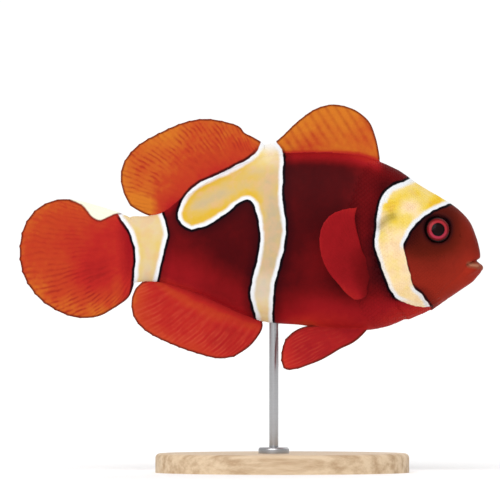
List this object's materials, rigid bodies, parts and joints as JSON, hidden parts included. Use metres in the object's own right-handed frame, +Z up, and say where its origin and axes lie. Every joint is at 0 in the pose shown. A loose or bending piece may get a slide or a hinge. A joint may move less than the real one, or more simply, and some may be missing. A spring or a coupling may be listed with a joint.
{
  "type": "maroon clownfish display model",
  "caption": "Life-size maroon clownfish with gold bands and spread fins, held level by one slim rod on a flat oval base.",
  "frame": {"origin": "centre of the whole model's bounding box in X and Y, on the underside of the stand's base", "axes": "+X towards the fish's nose, +Y towards its left side, +Z up"},
  "size_m": [0.1204, 0.042, 0.0957],
  "materials": {
    "body_skin": "dark maroon scaled skin, redder towards the belly, satin and slightly wet looking",
    "head_skin": "brownish red skin, satin",
    "band_skin": "pale gold band with a white rim and a black outline, satin",
    "fin_skin": "orange to red fin membrane over fine rays, satin",
    "eye": "polished, black pupil in a thin red ring",
    "stand_wood": "pale oiled hardwood with a softened upper edge",
    "stand_steel": "fine brushed stainless steel"
  },
  "bodies": {
    "root": {"head": "head_skin", "lower_jaw": "head_skin", "gill_cover_left": "band_skin", "gill_cover_right": "band_skin", "eye_left": "eye", "eye_right": "eye", "trunk": "body_skin", "tail_stalk": "band_skin", "tail_fin": "fin_skin", "dorsal_fin_front": "fin_skin", "dorsal_fin_rear": "fin_skin", "anal_fin": "fin_skin", "pectoral_fin_left": "fin_skin", "pectoral_fin_right": "fin_skin", "pelvic_fin_left": "fin_skin", "pelvic_fin_right": "fin_skin", "stand_base": "stand_wood", "stand_rod": "stand_steel", "stand_collar": "stand_steel"}
  },
  "joints": []
}
